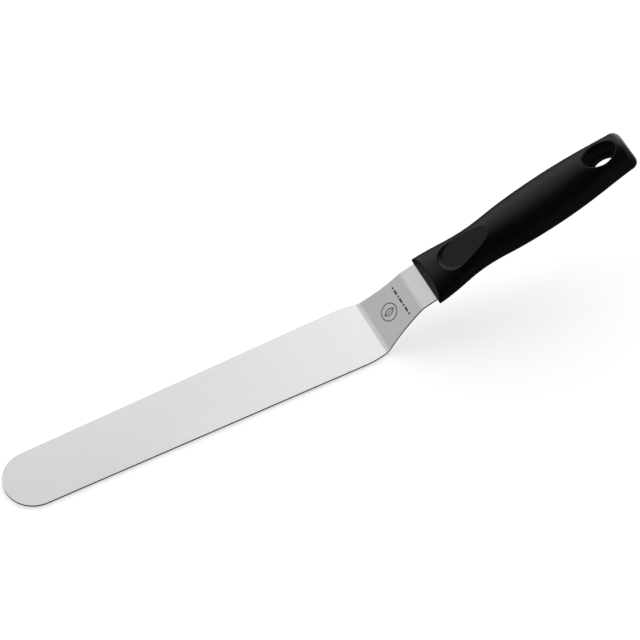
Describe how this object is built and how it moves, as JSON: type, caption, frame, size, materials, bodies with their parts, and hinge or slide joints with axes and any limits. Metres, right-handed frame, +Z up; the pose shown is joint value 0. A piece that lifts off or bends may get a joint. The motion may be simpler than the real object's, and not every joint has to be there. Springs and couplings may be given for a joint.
{
  "type": "offset spatula",
  "caption": "Offset icing spatula: long round-tipped flat steel blade, angled crank and neck, and a moulded black grip with a thumb recess and a hanging hole.",
  "frame": {"origin": "middle of the blade's flat underside, on the plane of symmetry", "axes": "+X from the blade's round tip towards the handle, +Y across the blade, +Z up out of the blade's upper face"},
  "size_m": [0.3418, 0.035, 0.0697],
  "materials": {
    "steel": "fine satin grain along the blade",
    "grip": "moulded black plastic with a soft sheen"
  },
  "bodies": {
    "root": {"blade": "steel", "handle": "grip"}
  },
  "joints": []
}
